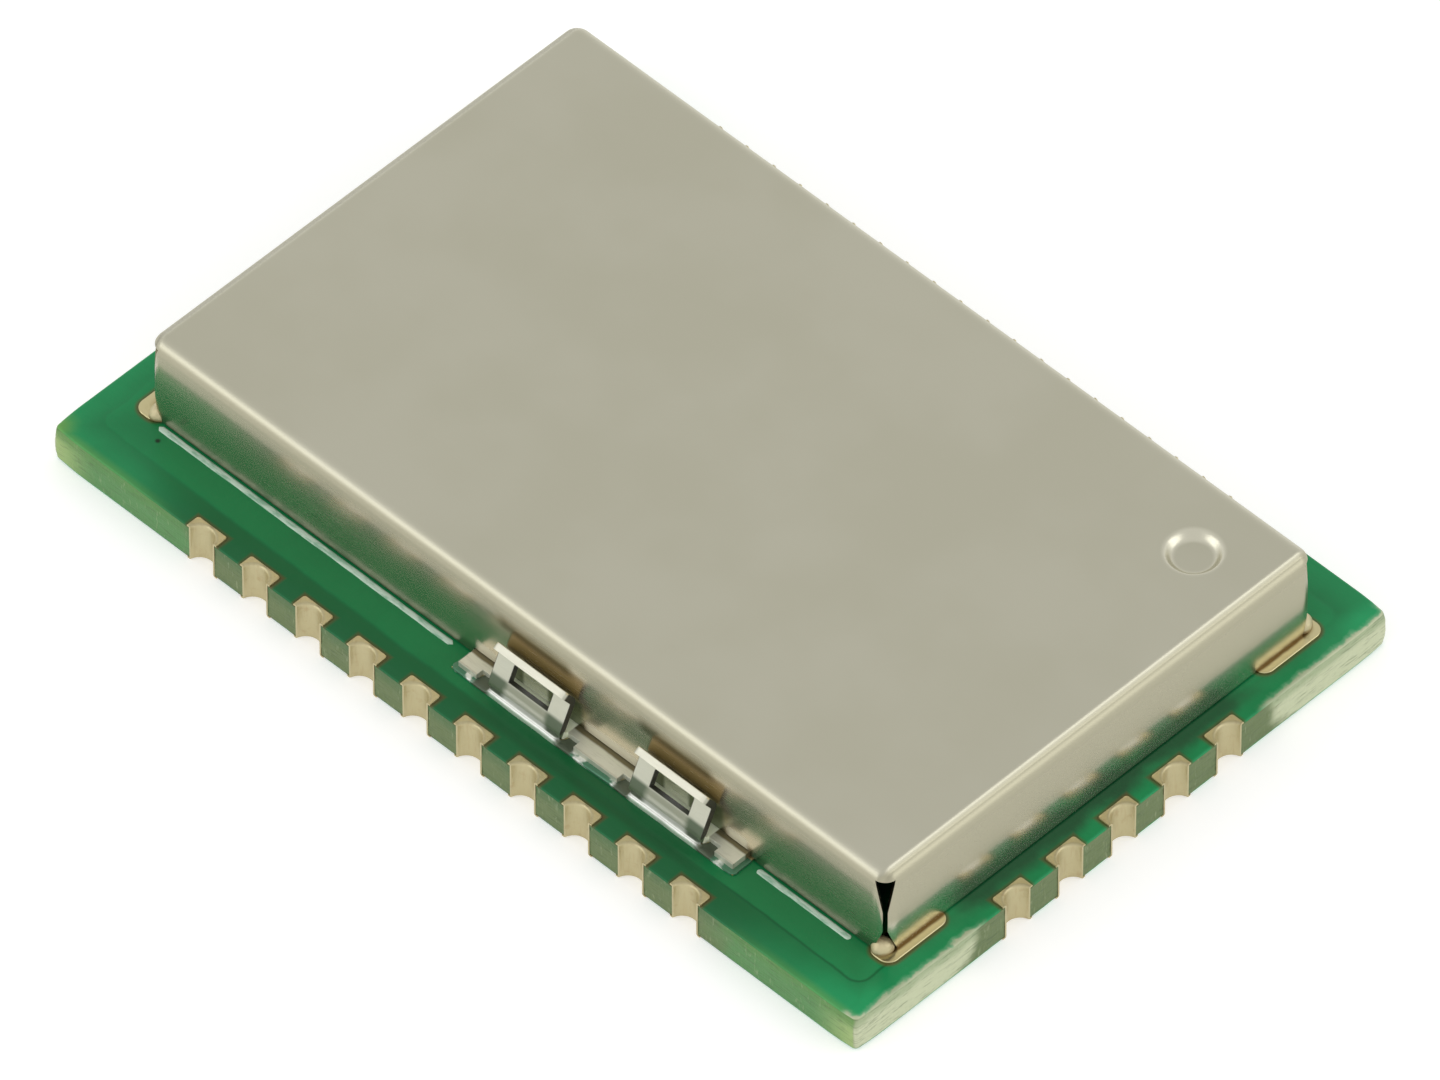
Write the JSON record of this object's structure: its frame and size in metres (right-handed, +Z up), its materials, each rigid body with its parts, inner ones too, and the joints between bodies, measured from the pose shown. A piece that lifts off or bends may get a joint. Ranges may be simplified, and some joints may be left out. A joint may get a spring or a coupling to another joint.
{
  "type": "castellated radio module",
  "caption": "Small green circuit board with plated half-hole contacts along its edges and a clipped-on folded metal shield can over its radio circuit.",
  "frame": {"origin": "middle of the board's underside", "axes": "+X along the board's long side towards the end with contacts, +Y towards the rear long side, +Z up out of the board"},
  "size_m": [0.019, 0.0128, 0.0028],
  "materials": {
    "board_mask": "glossy green solder mask on glass epoxy",
    "gold_plating": "thin gold over nickel and copper",
    "can_sheet": "satin tinned sheet, warm grey",
    "clip_spring": "bright tin on spring sheet",
    "solder": "bright reflowed solder",
    "chip_mould": "matt black moulding",
    "terminal_tin": "tinned",
    "crystal_ceramic": "dark brown ceramic",
    "crystal_lid": "pale gold lid",
    "filter_ceramic": "pale ceramic",
    "ferrite": "dark grey ferrite",
    "inductor_ceramic": "blue glazed ceramic",
    "capacitor_ceramic": "tan ceramic",
    "resistor_glaze": "black glaze"
  },
  "bodies": {
    "root": {"circuit_board": "board_mask", "left_edge_contacts": "gold_plating", "right_edge_contacts": "gold_plating", "end_edge_contacts": "gold_plating", "corner_ground_pads": "gold_plating", "front_clip_land": "gold_plating", "rear_clip_land": "gold_plating", "front_shield_clip": "clip_spring", "rear_shield_clip": "clip_spring", "front_clip_solder": "solder", "rear_clip_solder": "solder", "shield_can": "can_sheet", "corner_solder": "solder", "controller_chip": "chip_mould", "controller_terminals": "terminal_tin", "radio_chip": "chip_mould", "radio_terminals": "terminal_tin", "antenna_switch": "chip_mould", "antenna_switch_terminals": "terminal_tin", "reference_crystal_base": "crystal_ceramic", "reference_crystal_lid": "crystal_lid", "reference_crystal_terminals": "gold_plating", "clock_crystal_base": "crystal_ceramic", "clock_crystal_lid": "crystal_lid", "clock_crystal_terminals": "gold_plating", "harmonic_filter": "filter_ceramic", "harmonic_filter_terminals": "terminal_tin", "supply_inductor": "ferrite", "supply_inductor_terminals": "terminal_tin", "matching_inductors": "inductor_ceramic", "matching_inductor_terminals": "terminal_tin", "capacitors": "capacitor_ceramic", "capacitor_terminals": "terminal_tin", "resistors": "resistor_glaze", "resistor_terminals": "terminal_tin"}
  },
  "joints": []
}
